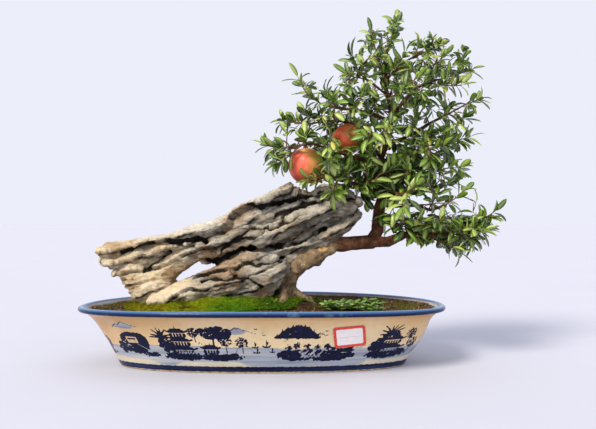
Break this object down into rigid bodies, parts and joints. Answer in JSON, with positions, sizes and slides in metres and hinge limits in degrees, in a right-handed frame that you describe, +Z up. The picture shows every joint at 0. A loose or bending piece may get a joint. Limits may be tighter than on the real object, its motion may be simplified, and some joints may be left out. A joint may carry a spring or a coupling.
{
  "type": "pomegranate bonsai",
  "caption": "Pomegranate bonsai in fruit, growing against a layered stone with moss and weeds in an oval blue-and-white glazed tray.",
  "frame": {"origin": "under the middle of the whole part's box, on the surface that the tray stands on", "axes": "+X along the tray towards the side the tree leans to, +Y away from the side with the paper label, +Z up"},
  "size_m": [0.7016, 0.3188, 0.5876],
  "materials": {
    "glaze": "gloss cream glaze with blue bands and painted scenery",
    "screen": "matte",
    "soil": "damp dark grains",
    "moss": "soft, fibrous",
    "stone": "rough, weathered in layers",
    "bark": "rough bark",
    "leaf": "smooth, slightly glossy",
    "fruit": "smooth rind, satin",
    "weed": "soft matte leaves",
    "pebble": "rough",
    "paper": "matte paper with a red printed border"
  },
  "bodies": {
    "root": {"tray": "glaze", "drain_screen_left": "screen", "drain_screen_right": "screen", "soil": "soil", "moss": "moss", "stone": "stone", "tree": "bark", "weeds": "weed", "pebble": "pebble", "paper_label": "paper", "pomegranate_low": "fruit", "pomegranate_high": "fruit", "back_left_spray_1": "leaf", "back_left_spray_2": "leaf", "back_right_spray_1": "leaf", "back_right_spray_2": "leaf", "back_top_spray_1": "leaf", "front_low_spray_1": "leaf", "front_low_spray_2": "leaf", "front_mid_spray_1": "leaf", "front_mid_spray_2": "leaf", "front_top_spray_1": "leaf", "high_left_spray_1": "leaf", "high_left_spray_2": "leaf", "high_left_spray_3": "leaf", "high_left_spray_4": "leaf", "high_right_spray_1": "leaf", "high_right_spray_2": "leaf", "high_right_spray_3": "leaf", "high_right_spray_4": "leaf", "inner_right_spray_1": "leaf", "inner_right_spray_2": "leaf", "leader_spray_1": "leaf", "leader_spray_2": "leaf", "leader_spray_3": "leaf", "leader_spray_4": "leaf", "long_left_spray_1": "leaf", "long_left_spray_2": "leaf", "long_left_spray_3": "leaf", "long_left_spray_4": "leaf", "long_right_spray_1": "leaf", "long_right_spray_2": "leaf", "long_right_spray_3": "leaf", "low_drop_spray_1": "leaf", "low_left_spray_1": "leaf", "low_left_spray_2": "leaf", "low_left_spray_3": "leaf", "low_right_spray_1": "leaf", "low_right_spray_2": "leaf", "low_right_spray_3": "leaf", "mid_left_spray_1": "leaf", "mid_left_spray_2": "leaf", "mid_left_spray_3": "leaf", "mid_right_spray_1": "leaf", "mid_right_spray_2": "leaf", "rear_low_spray_1": "leaf", "top_left_spray_1": "leaf", "top_left_spray_2": "leaf", "top_right_spray_1": "leaf", "top_right_spray_2": "leaf"}
  },
  "joints": []
}
